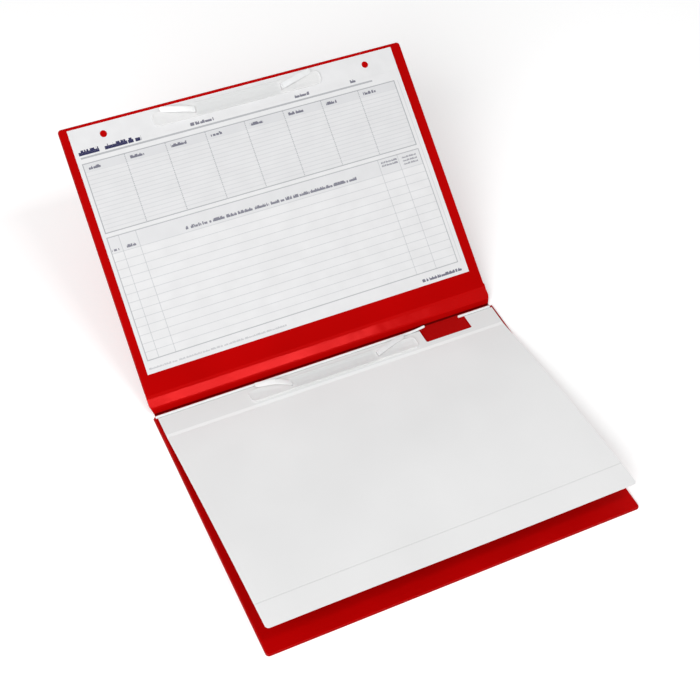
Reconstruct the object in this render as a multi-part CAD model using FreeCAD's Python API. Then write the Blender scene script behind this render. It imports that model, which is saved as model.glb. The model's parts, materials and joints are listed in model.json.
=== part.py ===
"""Landscape A4 clipboard folder: two board-stiffened film covers on a film spine, each with a two-prong fastener.

The folder is modelled lying open flat, the back cover towards -Y and the front cover towards +Y, and then
the spine and the front cover are raised to the angle at which the folder stands open. Millimetres, +Z up,
with the origin under the middle of the back cover.
"""
import FreeCAD
import Part
import math
import os
from collections import namedtuple

Vector = FreeCAD.Vector

# Printed form: one A4 sheet, landscape, punched four times along its top edge
FORM_WIDTH = 297.0
FORM_HEIGHT = 210.0
PAPER = 0.25
HOLE_PITCH = 80.0
HOLE_DIAMETER = 6.0
HOLE_INSET = 9.5
BINDING_HEIGHT = 21.0
CREASE_GAP = 0.05

# Covers, sized round the form
SIDE_MARGIN = 8.5
FOLD_MARGIN = 18.5
TOP_MARGIN = 3.0
FORM_SHIFT = -1.5
FILM = 0.4
BOARD = 1.6
RIM = 4.0
COVER_CORNER = 5.0
BOARD_CORNER = 2.0
BOARD_FIT = 0.05
PAD_CHAMFER = 0.25

# Spine and its welded fold seams
SPINE_WIDTH = 14.0
SEAM_RADIUS = 0.55
SEAM_CLEARANCE = 0.05
OPEN_ANGLE = 35.0

# Frosted plastic sheet on the back cover
SHEET = 0.5
SHEET_LEFT_MARGIN = 3.0
SHEET_RIGHT_MARGIN = 3.0
SHEET_FOLD_MARGIN = 6.5
SHEET_FRONT_MARGIN = 8.5
SHEET_CORNER = 3.0
SHEET_LIFT = 21.5
SHEET_ARCH = 2.5
NOTCH_WIDTH = 44.0
NOTCH_DEPTH = 13.5
NOTCH_INSET = 27.0

# Filing strip under the sheet's binding edge, cut out with it
STRIP = 1.0
STRIP_OVERHANG = 1.5
STRIP_RIGHT_MARGIN = 1.0
STRIP_CREASE_MARGIN = 1.5
STRIP_CUT_MARGIN = 0.5
BEAD_RADIUS = 1.1
BEAD_GAP = 0.65
BEAD_IN_NOTCH = 5.5

# Two-prong fastener
BASE = 0.6
BASE_FIT = 0.1
BAR = 1.0
BAR_WIDTH = 12.0
BAR_END = 37.0
BAR_CORNER = 4.0
BAR_RAIL = 0.3
BAR_RAIL_WIDTH = 1.0
ROOT = 0.8
SLOT_CLEARANCE = 0.3
TONGUE = 0.5
TONGUE_WIDTH = 5.0
TONGUE_LENGTH = 30.0
TONGUE_SPLAY = 9.0
TONGUE_GAP = 0.35
KNUCKLE_RADIUS = 0.45
KNUCKLE_CLEARANCE = 0.05

# Sizes that follow from these
COVER_WIDTH = FORM_WIDTH + 2 * SIDE_MARGIN
COVER_DEPTH = FOLD_MARGIN + FORM_HEIGHT + TOP_MARGIN
PANEL = 2 * FILM + BOARD
SHEET_LEFT = -COVER_WIDTH / 2 + SHEET_LEFT_MARGIN
SHEET_RIGHT = COVER_WIDTH / 2 - SHEET_RIGHT_MARGIN
SHEET_FAR = COVER_DEPTH - SHEET_FRONT_MARGIN
SHEET_CREASE = SHEET_FOLD_MARGIN + BINDING_HEIGHT
NOTCH_RIGHT = SHEET_RIGHT - NOTCH_INSET
NOTCH_LEFT = NOTCH_RIGHT - NOTCH_WIDTH
FORM_LEFT = FORM_SHIFT - FORM_WIDTH / 2
FORM_RIGHT = FORM_SHIFT + FORM_WIDTH / 2
FORM_TOP = FOLD_MARGIN + FORM_HEIGHT
FORM_CREASE = FORM_TOP - BINDING_HEIGHT
BAR_LENGTH = HOLE_PITCH + 2 * BAR_END
PRONGS = (FORM_SHIFT - HOLE_PITCH / 2, FORM_SHIFT + HOLE_PITCH / 2)

# Each half of the open folder: the Y of its fold, and the way it reaches from there
Half = namedtuple("Half", "fold way")
BACK = Half(0.0, -1)
FRONT = Half(SPINE_WIDTH, 1)


def slab(left, right, low_y, high_y, bottom, top, radii=(0, 0, 0, 0)):
    """Flat plate with a radius for each corner, in the order left low, right low, right high, left high."""
    corners = (
        (left, low_y, 1, 1),
        (right, low_y, -1, 1),
        (right, high_y, -1, -1),
        (left, high_y, 1, -1),
    )
    stops = []
    for index, ((x, y, inward_x, inward_y), radius) in enumerate(zip(corners, radii)):
        along_x = Vector(x + inward_x * radius, y, bottom)
        along_y = Vector(x, y + inward_y * radius, bottom)
        inset = radius * (1 - math.sqrt(0.5))
        middle = Vector(x + inward_x * inset, y + inward_y * inset, bottom)
        enter, leave = (along_x, along_y) if index % 2 else (along_y, along_x)
        stops.append((enter, middle, leave, radius))
    edges = []
    previous = stops[-1][2]
    for enter, middle, leave, radius in stops:
        if not previous.isEqual(enter, 1e-6):
            edges.append(Part.makeLine(previous, enter))
        if radius > 0:
            edges.append(Part.Arc(enter, middle, leave).toShape())
        previous = leave
    return Part.Face(Part.Wire(edges)).extrude(Vector(0, 0, top - bottom))


def plate(half, left, right, near, far, bottom, top, near_radius=0, far_radius=0):
    """Flat plate on one half of the folder: near and far are measured from that half's fold."""
    ends = ((half.fold + half.way * near, near_radius), (half.fold + half.way * far, far_radius))
    (low_y, low_radius), (high_y, high_radius) = sorted(ends)
    radii = (low_radius, low_radius, high_radius, high_radius)
    return slab(left, right, low_y, high_y, bottom, top, radii)


def rod_along_x(radius, left, right, y, z):
    """Round rod parallel to the folds."""
    return Part.makeCylinder(radius, right - left, Vector(left, y, z), Vector(1, 0, 0))


def fold_rod(radius, y):
    """Rod on a fold's axis, as wide as the covers."""
    return rod_along_x(radius, -COVER_WIDTH / 2, COVER_WIDTH / 2, y, SEAM_RADIUS)


def punch(x, y, bottom, top):
    """Tool for one punched hole."""
    return Part.makeCylinder(HOLE_DIAMETER / 2, top - bottom, Vector(x, y, bottom))


def prong_slot(x, y, bottom, top):
    """Tool for the slot that one prong passes through."""
    half_x = ROOT / 2 + SLOT_CLEARANCE
    half_y = TONGUE_WIDTH / 2 + SLOT_CLEARANCE
    return slab(x - half_x, x + half_x, y - half_y, y + half_y, bottom, top)


def outer_film(half):
    """Outer film of a cover: flat, open to the fold seam at its near edge."""
    half_width = COVER_WIDTH / 2
    film = plate(half, -half_width, half_width, 0, COVER_DEPTH, 0, FILM, 0, COVER_CORNER)
    return film.cut(fold_rod(SEAM_RADIUS + SEAM_CLEARANCE, half.fold))


def board_plate(half, grow, bottom, top):
    """The board's outline, grown on every side, between two heights."""
    half_width = COVER_WIDTH / 2 - RIM + grow
    radius = BOARD_CORNER + grow
    return plate(half, -half_width, half_width, RIM - grow, COVER_DEPTH - RIM + grow, bottom, top, radius, radius)


def board(half):
    """Greyboard stiffener of a cover."""
    return board_plate(half, 0, FILM, FILM + BOARD)


def inner_film(half):
    """Inner film of a cover: drawn over the board, and flat on the outer film along the welded rim."""
    half_width = COVER_WIDTH / 2
    rim = plate(half, -half_width, half_width, 0, COVER_DEPTH, FILM, 2 * FILM, 0, COVER_CORNER)
    pad = board_plate(half, BOARD_FIT + FILM, FILM, PANEL)
    top_edges = [edge for edge in pad.Edges if edge.BoundBox.ZMin > PANEL - FILM]
    pad = pad.makeChamfer(PAD_CHAMFER, top_edges)
    film = rim.fuse(pad).cut(board_plate(half, BOARD_FIT, FILM, FILM + BOARD))
    return film.cut(fold_rod(SEAM_RADIUS + SEAM_CLEARANCE, half.fold))


def spine_film(bottom, top):
    """One film of the spine, between the two fold seams."""
    film = slab(-COVER_WIDTH / 2, COVER_WIDTH / 2, BACK.fold, FRONT.fold, bottom, top)
    return film.cut(fold_rod(SEAM_RADIUS, BACK.fold)).cut(fold_rod(SEAM_RADIUS, FRONT.fold))


def prong_axis(bar_bottom):
    """Height of the tongues' fold over a pressure bar that lies at bar_bottom."""
    return bar_bottom + BAR + TONGUE_GAP + KNUCKLE_RADIUS


def knuckle(radius, x, y, z):
    """Rod on a tongue's fold, as wide as the tongue."""
    start = Vector(x, y - TONGUE_WIDTH / 2, z)
    return Part.makeCylinder(radius, TONGUE_WIDTH, start, Vector(0, 1, 0))


def prong_root(x, y, bottom, axis):
    """Fixed part of one prong: a flat stem that ends in the knuckle of its tongue."""
    stem = slab(x - ROOT / 2, x + ROOT / 2, y - TONGUE_WIDTH / 2, y + TONGUE_WIDTH / 2, bottom, axis)
    return stem.fuse(knuckle(KNUCKLE_RADIUS, x, y, axis))


def tongue(x, y, axis, way):
    """Tongue of one prong, folded over the bar: it runs outwards, and drifts towards the bound edge on the way."""
    half_width = TONGUE_WIDTH / 2
    bottom = axis - TONGUE / 2
    reach = math.sqrt(TONGUE_LENGTH**2 - TONGUE_SPLAY**2)
    tip = Vector(x + way * reach, y + TONGUE_SPLAY, bottom)
    straight = (tip - Vector(x, y, bottom)) * (1 - half_width / TONGUE_LENGTH)
    low_root = Vector(x, y - half_width, bottom)
    high_root = Vector(x, y + half_width, bottom)
    edges = [
        Part.makeLine(low_root, low_root + straight),
        Part.Arc(low_root + straight, tip, high_root + straight).toShape(),
        Part.makeLine(high_root + straight, high_root),
        Part.makeLine(high_root, low_root),
    ]
    strap = Part.Face(Part.Wire(edges)).extrude(Vector(0, 0, TONGUE))
    return strap.cut(knuckle(KNUCKLE_RADIUS + KNUCKLE_CLEARANCE, x, y, axis))


def pressure_bar(y, bottom):
    """Pressure bar over the punched edge: a channel with a low rail along each side and a slot for each prong."""
    left = FORM_SHIFT - BAR_LENGTH / 2
    right = FORM_SHIFT + BAR_LENGTH / 2
    low_y = y - BAR_WIDTH / 2
    high_y = y + BAR_WIDTH / 2
    floor_top = bottom + BAR
    bar = slab(left, right, low_y, high_y, bottom, floor_top, (BAR_CORNER,) * 4)
    for rail_y in (low_y, high_y - BAR_RAIL_WIDTH):
        ends = (left + BAR_CORNER, right - BAR_CORNER)
        bar = bar.fuse(slab(*ends, rail_y, rail_y + BAR_RAIL_WIDTH, floor_top, floor_top + BAR_RAIL))
    for x in PRONGS:
        bar = bar.cut(prong_slot(x, y, bottom, floor_top))
    return bar.removeSplitter()


def back_fastener():
    """Filing strip with its bead and prong roots, the pressure bar and the two tongues of the back cover."""
    y = BACK.fold + BACK.way * (SHEET_FOLD_MARGIN + HOLE_INSET)
    left = SHEET_LEFT - STRIP_OVERHANG
    right = SHEET_RIGHT - STRIP_RIGHT_MARGIN
    bead_near = SHEET_FOLD_MARGIN - BEAD_GAP - BEAD_RADIUS
    strip = plate(BACK, left, right, bead_near, SHEET_CREASE - STRIP_CREASE_MARGIN, PANEL, PANEL + STRIP)
    cut_ends = (NOTCH_LEFT - STRIP_CUT_MARGIN, NOTCH_RIGHT + STRIP_CUT_MARGIN)
    cut_far = SHEET_FOLD_MARGIN + NOTCH_DEPTH + STRIP_CUT_MARGIN
    strip = strip.cut(plate(BACK, *cut_ends, bead_near, cut_far, PANEL, PANEL + STRIP))
    bead_y = BACK.fold + BACK.way * bead_near
    for ends in ((left, NOTCH_LEFT + BEAD_IN_NOTCH), (NOTCH_RIGHT - BEAD_IN_NOTCH, right)):
        strip = strip.fuse(rod_along_x(BEAD_RADIUS, *ends, bead_y, PANEL + BEAD_RADIUS))
    bar_bottom = PANEL + STRIP + SHEET
    axis = prong_axis(bar_bottom)
    for x in PRONGS:
        strip = strip.fuse(prong_root(x, y, PANEL, axis))
    return {
        "filing_strip": strip.removeSplitter(),
        "back_pressure_bar": pressure_bar(y, bar_bottom),
        "back_left_tongue": tongue(PRONGS[0], y, axis, -1),
        "back_right_tongue": tongue(PRONGS[1], y, axis, 1),
    }


def front_fastener():
    """Hidden base with its prong roots, the pressure bar and the two tongues of the front cover."""
    y = FRONT.fold + FRONT.way * (FORM_TOP - HOLE_INSET)
    bar_bottom = PANEL + PAPER
    axis = prong_axis(bar_bottom)
    half_length = BAR_LENGTH / 2
    base_top = FILM + BOARD
    base = slab(
        FORM_SHIFT - half_length,
        FORM_SHIFT + half_length,
        y - BAR_WIDTH / 2,
        y + BAR_WIDTH / 2,
        base_top - BASE,
        base_top,
        (BAR_CORNER,) * 4,
    )
    pocket = slab(
        FORM_SHIFT - half_length - BASE_FIT,
        FORM_SHIFT + half_length + BASE_FIT,
        y - BAR_WIDTH / 2 - BASE_FIT,
        y + BAR_WIDTH / 2 + BASE_FIT,
        base_top - BASE,
        base_top,
        (BAR_CORNER + BASE_FIT,) * 4,
    )
    film = inner_film(FRONT)
    for x in PRONGS:
        base = base.fuse(prong_root(x, y, base_top - BASE, axis))
        film = film.cut(prong_slot(x, y, base_top, PANEL))
    return {
        "front_board": board(FRONT).cut(pocket),
        "front_inner_film": film,
        "front_fastener_base": base.removeSplitter(),
        "front_pressure_bar": pressure_bar(y, bar_bottom),
        "front_left_tongue": tongue(PRONGS[0], y, axis, -1),
        "front_right_tongue": tongue(PRONGS[1], y, axis, 1),
    }


def form():
    """Printed form: the punched binding edge under the bar, and the leaf that turns up from the crease below it."""
    top = PANEL + PAPER
    y = FRONT.fold + FRONT.way * (FORM_TOP - HOLE_INSET)
    edge = plate(FRONT, FORM_LEFT, FORM_RIGHT, FORM_CREASE, FORM_TOP, PANEL, top)
    for step in (-1.5, -0.5, 0.5, 1.5):
        edge = edge.cut(punch(FORM_SHIFT + step * HOLE_PITCH, y, PANEL, top))
    leaf = plate(FRONT, FORM_LEFT, FORM_RIGHT, FOLD_MARGIN, FORM_CREASE - CREASE_GAP, PANEL, top)
    return {"form_binding_edge": edge, "form_leaf": leaf}


def sheet_binding_edge():
    """Flat upper edge of the plastic sheet on the filing strip, with its cut-out and the two prong holes."""
    bottom = PANEL + STRIP
    top = bottom + SHEET
    edge = plate(BACK, SHEET_LEFT, SHEET_RIGHT, SHEET_FOLD_MARGIN, SHEET_CREASE, bottom, top)
    notch_far = SHEET_FOLD_MARGIN + NOTCH_DEPTH
    edge = edge.cut(plate(BACK, NOTCH_LEFT, NOTCH_RIGHT, SHEET_FOLD_MARGIN, notch_far, bottom, top))
    y = BACK.fold + BACK.way * (SHEET_FOLD_MARGIN + HOLE_INSET)
    for x in PRONGS:
        edge = edge.cut(punch(x, y, bottom, top))
    return edge


def sheet_leaf():
    """Loose part of the plastic sheet: it rises from the crease in a shallow arch to its lifted front edge."""
    near = SHEET_CREASE + CREASE_GAP
    reaches = (near, (near + SHEET_FAR) / 2, SHEET_FAR)
    rises = (STRIP, (STRIP + SHEET_LIFT) / 2 + SHEET_ARCH, SHEET_LIFT)
    under = [Vector(SHEET_LEFT, BACK.fold + BACK.way * r, PANEL + z) for r, z in zip(reaches, rises)]
    arch = Part.BSplineCurve()
    arch.interpolate(under)
    side = arch.toShape().extrude(Vector(0, 0, SHEET))
    leaf = side.extrude(Vector(SHEET_RIGHT - SHEET_LEFT, 0, 0))
    outline = plate(BACK, SHEET_LEFT, SHEET_RIGHT, near, SHEET_FAR, PANEL, PANEL + SHEET_LIFT + SHEET_ARCH, 0, SHEET_CORNER)
    return leaf.common(outline)


def raised(shape):
    """The shape turned about the back fold, from the flat folder to the open one."""
    turned = shape.copy()
    turned.rotate(Vector(0, BACK.fold, SEAM_RADIUS), Vector(1, 0, 0), OPEN_ANGLE)
    return turned


def flat_back():
    """Pieces that stay with the back cover."""
    return {
        "back_outer_film": outer_film(BACK),
        "back_board": board(BACK),
        "back_inner_film": inner_film(BACK),
        **back_fastener(),
        "sheet_binding_edge": sheet_binding_edge(),
        "sheet_leaf": sheet_leaf(),
    }


def flat_front():
    """Pieces that rise with the spine and the front cover."""
    return {
        "spine_outer_film": spine_film(0, FILM),
        "spine_inner_film": spine_film(FILM, 2 * FILM),
        "back_fold_seam": fold_rod(SEAM_RADIUS, BACK.fold),
        "front_fold_seam": fold_rod(SEAM_RADIUS, FRONT.fold),
        "front_outer_film": outer_film(FRONT),
        **front_fastener(),
        **form(),
    }


def main():
    """Builds every piece and writes one file for each."""
    os.makedirs("parts", exist_ok=True)
    pieces = {**flat_back(), **{name: raised(shape) for name, shape in flat_front().items()}}
    for name, shape in pieces.items():
        shape.translate(Vector(0, COVER_DEPTH / 2, 0))
        if not shape.isValid() or len(shape.Solids) != 1:
            raise ValueError(f"{name} is not one sound solid")
        shape.Solids[0].exportStep(f"parts/{name}.step")
        print(f"{name}: {shape.Volume:.1f} mm3")


main()
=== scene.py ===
"""Looks of a landscape clipboard folder: red film covers on a spine, a ruled form and a frosted sheet."""

import json
import logging
import math

from collections.abc import Callable, Sequence
from dataclasses import dataclass, field
from enum import Enum

import bmesh
import bpy
import numpy as np
from mathutils import Matrix, Vector


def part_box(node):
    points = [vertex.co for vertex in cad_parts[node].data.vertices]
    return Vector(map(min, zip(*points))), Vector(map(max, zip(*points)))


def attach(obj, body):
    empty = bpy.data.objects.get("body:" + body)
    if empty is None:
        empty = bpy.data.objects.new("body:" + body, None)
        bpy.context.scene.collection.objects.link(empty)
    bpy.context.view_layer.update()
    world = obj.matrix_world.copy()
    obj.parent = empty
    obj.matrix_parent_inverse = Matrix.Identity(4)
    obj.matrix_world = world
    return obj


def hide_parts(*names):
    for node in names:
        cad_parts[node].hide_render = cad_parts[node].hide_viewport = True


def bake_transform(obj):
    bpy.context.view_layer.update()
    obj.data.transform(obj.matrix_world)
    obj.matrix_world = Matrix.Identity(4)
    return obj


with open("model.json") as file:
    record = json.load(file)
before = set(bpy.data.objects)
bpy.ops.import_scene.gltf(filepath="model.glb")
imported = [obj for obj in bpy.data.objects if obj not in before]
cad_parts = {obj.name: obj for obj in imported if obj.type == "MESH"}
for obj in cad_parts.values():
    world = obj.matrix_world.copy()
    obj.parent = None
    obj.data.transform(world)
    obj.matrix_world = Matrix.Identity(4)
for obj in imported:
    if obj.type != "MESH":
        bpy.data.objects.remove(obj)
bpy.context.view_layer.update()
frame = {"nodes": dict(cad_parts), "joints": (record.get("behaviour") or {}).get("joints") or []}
JOINTS = {joint["name"]: Vector(joint["pos_m"]) for joint in frame["joints"]}
LOG = logging.getLogger("folder")
MM = 0.001
TINY = 0.02 * MM
CUTTER = 9 * MM
WHITE = (1.0, 1.0, 1.0, 1.0)

Tree = bpy.types.NodeTree
Socket = bpy.types.NodeSocket
Object = bpy.types.Object


class Pick(Enum):
    """What a selection in edit mode is made of."""

    CORNERS = ("VERT", "verts")
    EDGES = ("EDGE", "edges")
    FACES = ("FACE", "faces")


class Side(Enum):
    """The two halves of the folder."""

    BACK = "back"
    FRONT = "front"


def linear(colour: str) -> tuple[float, float, float, float]:
    """Turns an sRGB hex colour into linear RGBA.

    Args:
        colour: Six hex digits after a hash sign.

    Returns:
        The linear colour with full alpha.
    """
    parts = [int(colour[i : i + 2], 16) / 255 for i in (1, 3, 5)]
    red, green, blue = (p / 12.92 if p <= 0.04045 else ((p + 0.055) / 1.055) ** 2.4 for p in parts)
    return red, green, blue, 1.0


def add_node(tree: Tree, kind: str, inputs: dict | None = None, **settings: object) -> bpy.types.Node:
    """Adds a node with its settings, values and links.

    Args:
        tree: Node tree that gets the node.
        kind: Node type without the ShaderNode prefix.
        inputs: Input name or number to a value, or to the output socket it is linked from.
        settings: Attributes of the node itself.

    Returns:
        The new node.
    """
    node = tree.nodes.new("ShaderNode" + kind)
    for name, value in settings.items():
        setattr(node, name, value)
    for name, value in (inputs or {}).items():
        if isinstance(value, Socket):
            tree.links.new(value, node.inputs[name])
        else:
            node.inputs[name].default_value = value
    return node


def plain_view(tree: Tree) -> Socket:
    """Share that is on for the lens and for what it sees in a shine or through a clear piece.

    Args:
        tree: Node tree that gets the nodes.

    Returns:
        The share, 1 for such rays and 0 for the rest.
    """
    path = add_node(tree, "LightPath").outputs
    indirect = {0: path["Is Glossy Ray"], 1: path["Is Transmission Ray"]}
    shine = add_node(tree, "Math", indirect, operation="ADD").outputs[0]
    both = {0: path["Is Camera Ray"], 1: shine}
    return add_node(tree, "Math", both, operation="ADD", use_clamp=True).outputs[0]


def middle(item: object) -> Vector:
    """Mean place of the corners of a mesh face, edge or corner.

    Args:
        item: Element of a mesh in edit mode.

    Returns:
        Its middle.
    """
    corners = getattr(item, "verts", None)
    if corners is None:
        return item.co
    return sum((v.co for v in corners), Vector()) / len(corners)


def upright(edge: bmesh.types.BMEdge) -> bool:
    """Says whether an edge stands on end."""
    return abs(edge.verts[0].co.z - edge.verts[1].co.z) > TINY


def steps(start: float, end: float, count: int) -> list[float]:
    """Places that cut a length into equal parts."""
    return [start + (end - start) * i / count for i in range(1, count)]


class Half:
    """One half of the folder, with the turn that lays it flat on the desk and back again."""

    def __init__(self, side: Side) -> None:
        """Finds the half's turn from the two fold joints.

        Args:
            side: Back half, which lies flat already, or the raised front half.
        """
        lower = JOINTS["back_fold"]
        step = JOINTS["front_fold"] - lower
        self.side = side
        self.body = f"{side.value}_cover"
        self.fold_y = lower.y if side is Side.BACK else lower.y + step.length
        self.way = -1 if side is Side.BACK else 1
        turn = Matrix.Rotation(math.atan2(step.z, step.y), 4, "X")
        centre = Matrix.Translation(lower)
        self.raise_up = centre @ turn @ centre.inverted() if side is Side.FRONT else Matrix.Identity(4)

    def y(self, reach: float) -> float:
        """Flat y at a distance from the fold."""
        return self.fold_y + self.way * reach

    def at(self, x: float, reach: float, z: float) -> Vector:
        """Flat place from a distance along the fold, one away from it and a height."""
        return Vector((x, self.y(reach), z))

    def span(
        self, left: float, right: float, near: float, far: float, low: float, high: float
    ) -> tuple[Vector, Vector]:
        """Low and high corners of a flat box given by its distances from the fold."""
        ends = sorted((self.y(near), self.y(far)))
        return Vector((left, ends[0], low)), Vector((right, ends[1], high))

    def reach(self, node: str) -> tuple[float, float]:
        """Finds how near to the fold and how far from it a node lies.

        Args:
            node: Name of the node.

        Returns:
            The two distances on the flat half.
        """
        obj = frame["nodes"][node]
        lay = self.raise_up.inverted() @ obj.matrix_world
        away = [((lay @ v.co).y - self.fold_y) * self.way for v in obj.data.vertices]
        return min(away), max(away)

    def prongs(self) -> tuple[list[float], float, float]:
        """Finds the two prongs from the joints of their tongues.

        Returns:
            Their places along the fold, their distance from it and the flat height of their axis.
        """
        names = [f"{self.side.value}_{end}_tongue_fold" for end in ("left", "right")]
        flat = [self.raise_up.inverted() @ JOINTS[name] for name in names]
        return [place.x for place in flat], abs(flat[0].y - self.fold_y), flat[0].z


class Piece:
    """One mesh on the bench: a primitive that is shaped in edit mode, dressed and put on its body."""

    def __init__(self, name: str, size: Vector) -> None:
        """Takes the primitive that was added last, applies its size and opens it in edit mode.

        Args:
            name: Name of the object and its mesh.
            size: Scale to apply.
        """
        self.obj = bpy.context.object
        self.obj.name = name
        self.obj.data.name = name
        self.obj.scale = size
        bpy.ops.object.transform_apply()
        bpy.ops.object.mode_set(mode="EDIT")

    @staticmethod
    def begin() -> None:
        """Leaves edit mode and clears the selection."""
        if bpy.context.object and bpy.context.object.mode == "EDIT":
            bpy.ops.object.mode_set(mode="OBJECT")
        bpy.ops.object.select_all(action="DESELECT")

    @classmethod
    def block(cls, name: str, low: Vector, high: Vector) -> "Piece":
        """Starts a piece from a block.

        Args:
            name: Name of the piece.
            low: Low corner.
            high: High corner.

        Returns:
            The new piece.
        """
        cls.begin()
        bpy.ops.mesh.primitive_cube_add(size=1, location=(low + high) / 2)
        return cls(name, high - low)

    @classmethod
    def sheet(cls, name: str, low: Vector, high: Vector) -> "Piece":
        """Starts a piece from a flat sheet.

        Args:
            name: Name of the piece.
            low: Low corner.
            high: High corner, at the same height.

        Returns:
            The new piece.
        """
        cls.begin()
        bpy.ops.mesh.primitive_plane_add(size=1, location=(low + high) / 2)
        return cls(name, high - low + Vector((0, 0, 1)))

    @classmethod
    def cylinder(
        cls, name: str, centre: Vector, size: tuple[float, float], sides: int, lying: bool = False
    ) -> "Piece":
        """Starts a piece from a cylinder, upright or along the fold.

        Args:
            name: Name of the piece.
            centre: Its middle.
            size: Radius and length.
            sides: Number of flat sides.
            lying: True for one along the fold.

        Returns:
            The new piece.
        """
        cls.begin()
        turn = (0.0, math.pi / 2 if lying else 0.0, 0.0)
        radius, length = size
        bpy.ops.mesh.primitive_cylinder_add(
            vertices=sides, radius=radius, depth=length, location=centre, rotation=turn
        )
        return cls(name, Vector((1, 1, 1)))

    def pick(self, kind: Pick, test: Callable[[object], bool] = lambda item: True) -> "Piece":
        """Selects the corners, edges or faces that pass a test.

        Args:
            kind: What is selected.
            test: Takes one mesh element and says whether it is selected.

        Returns:
            The piece.
        """
        mode, items = kind.value
        bpy.ops.mesh.select_mode(type=mode)
        bpy.ops.mesh.select_all(action="DESELECT")
        work = bmesh.from_edit_mesh(self.obj.data)
        work.normal_update()
        for item in getattr(work, items):
            if test(item):
                item.select_set(True)
        work.select_flush_mode()
        bmesh.update_edit_mesh(self.obj.data)
        return self

    def bevel(self, offset: float, segments: int, corners: bool = False) -> "Piece":
        """Rounds what is selected.

        Args:
            offset: Width of the rounding.
            segments: Number of steps round it.
            corners: True for the corners of a flat sheet instead of edges.

        Returns:
            The piece.
        """
        affect = "VERTICES" if corners else "EDGES"
        bpy.ops.mesh.bevel(offset=offset, segments=segments, affect=affect, clamp_overlap=True)
        return self

    def inset(self, *pairs: tuple[float, float]) -> "Piece":
        """Insets the selected faces.

        Args:
            pairs: Width and depth of each step in turn.

        Returns:
            The piece.
        """
        for width, depth in pairs:
            bpy.ops.mesh.inset(thickness=width, depth=depth)
        return self

    def raise_face(self, height: float) -> "Piece":
        """Extrudes the selection upwards."""
        bpy.ops.mesh.extrude_region_move(TRANSFORM_OT_translate={"value": (0, 0, height)})
        return self

    def slice(self, xs: Sequence[float] = (), ys: Sequence[float] = ()) -> "Piece":
        """Cuts lines across the whole piece.

        Args:
            xs: Places of the lines across x.
            ys: Places of the lines across y.

        Returns:
            The piece.
        """
        for normal, places in ((Vector((1, 0, 0)), xs), (Vector((0, 1, 0)), ys)):
            for place in places:
                self.pick(Pick.FACES)
                bpy.ops.mesh.bisect(plane_co=normal * place, plane_no=normal)
        return self

    def trim(self, place: Vector, outwards: Vector) -> "Piece":
        """Cuts away what lies beyond a place.

        Args:
            place: Where the cut goes through.
            outwards: Direction of what is cut away.

        Returns:
            The piece.
        """
        self.pick(Pick.FACES)
        bpy.ops.mesh.bisect(plane_co=place, plane_no=outwards, clear_outer=True)
        return self

    def shape(self, move: Callable[[Vector], Vector]) -> "Piece":
        """Moves every corner by a rule.

        Args:
            move: Takes a corner's place and gives its new one.

        Returns:
            The piece.
        """
        work = bmesh.from_edit_mesh(self.obj.data)
        for corner in work.verts:
            corner.co = move(corner.co)
        bmesh.update_edit_mesh(self.obj.data)
        return self

    def thicken(self, thickness: float) -> "Piece":
        """Gives a sheet its thickness below its face.

        Args:
            thickness: Thickness of the sheet.

        Returns:
            The piece.
        """
        bpy.ops.object.mode_set(mode="OBJECT")
        modifier = self.obj.modifiers.new("thickness", "SOLIDIFY")
        modifier.thickness = thickness
        modifier.offset = -1.0
        bpy.ops.object.modifier_apply(modifier=modifier.name)
        bpy.ops.object.mode_set(mode="EDIT")
        return self

    def merge(self, operation: str, *others: "Piece") -> "Piece":
        """Runs a boolean with each other piece and removes it.

        Args:
            operation: Name of the boolean operation.
            others: Pieces that are used up.

        Returns:
            The piece.
        """
        self.begin()
        bpy.context.view_layer.objects.active = self.obj
        self.obj.select_set(True)
        for other in others:
            modifier = self.obj.modifiers.new("merge", "BOOLEAN")
            modifier.operation = operation
            modifier.solver = "EXACT"
            modifier.object = other.obj
            bpy.ops.object.modifier_apply(modifier=modifier.name)
            bpy.data.objects.remove(other.obj)
        bpy.ops.object.mode_set(mode="EDIT")
        return self

    def paint(self, finish: "Finish", test: Callable[[object], bool] = lambda face: True) -> "Piece":
        """Gives the faces that pass a test a finish of their own.

        Args:
            finish: Their finish.
            test: Takes a face and says whether it is painted.

        Returns:
            The piece.
        """
        self.pick(Pick.FACES, test)
        mesh = self.obj.data
        mesh.materials.append(finish.material())
        self.obj.active_material_index = len(mesh.materials) - 1
        bpy.ops.object.material_slot_assign()
        return self

    def flat_map(self, origin: Vector) -> "Piece":
        """Writes a UV map in metres from a flat place, before the piece is raised.

        Args:
            origin: Flat place of the map's zero.

        Returns:
            The piece.
        """
        bpy.ops.object.mode_set(mode="OBJECT")
        mesh = self.obj.data
        layer = mesh.uv_layers.active or mesh.uv_layers.new()
        layer.name = "flat"
        for loop in mesh.loops:
            place = mesh.vertices[loop.vertex_index].co - origin
            layer.data[loop.index].uv = (place.x, place.y)
        bpy.ops.object.mode_set(mode="EDIT")
        return self

    def close(self, finish: "Finish", half: Half | None = None, angle: float = 35.0) -> Object:
        """Ends edit mode: merges doubles, turns faces outwards, dresses, raises and smooths the piece.

        Args:
            finish: Finish of a piece that wasn't painted.
            half: Half that the flat piece is raised with.
            angle: Edges flatter than this are shaded smooth, in degrees.

        Returns:
            The finished object.
        """
        self.pick(Pick.CORNERS)
        bpy.ops.mesh.remove_doubles(threshold=0.004 * MM)
        bpy.ops.mesh.normals_make_consistent(inside=False)
        bpy.ops.object.mode_set(mode="OBJECT")
        mesh = self.obj.data
        if len(mesh.materials) == 0:
            mesh.materials.append(finish.material())
        if half:
            mesh.transform(half.raise_up)
        bpy.ops.object.shade_smooth_by_angle(angle=math.radians(angle))
        modifier = self.obj.modifiers.new("flat_faces", "WEIGHTED_NORMAL")
        modifier.keep_sharp = True
        bpy.ops.object.modifier_apply(modifier=modifier.name)
        return self.obj


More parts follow.
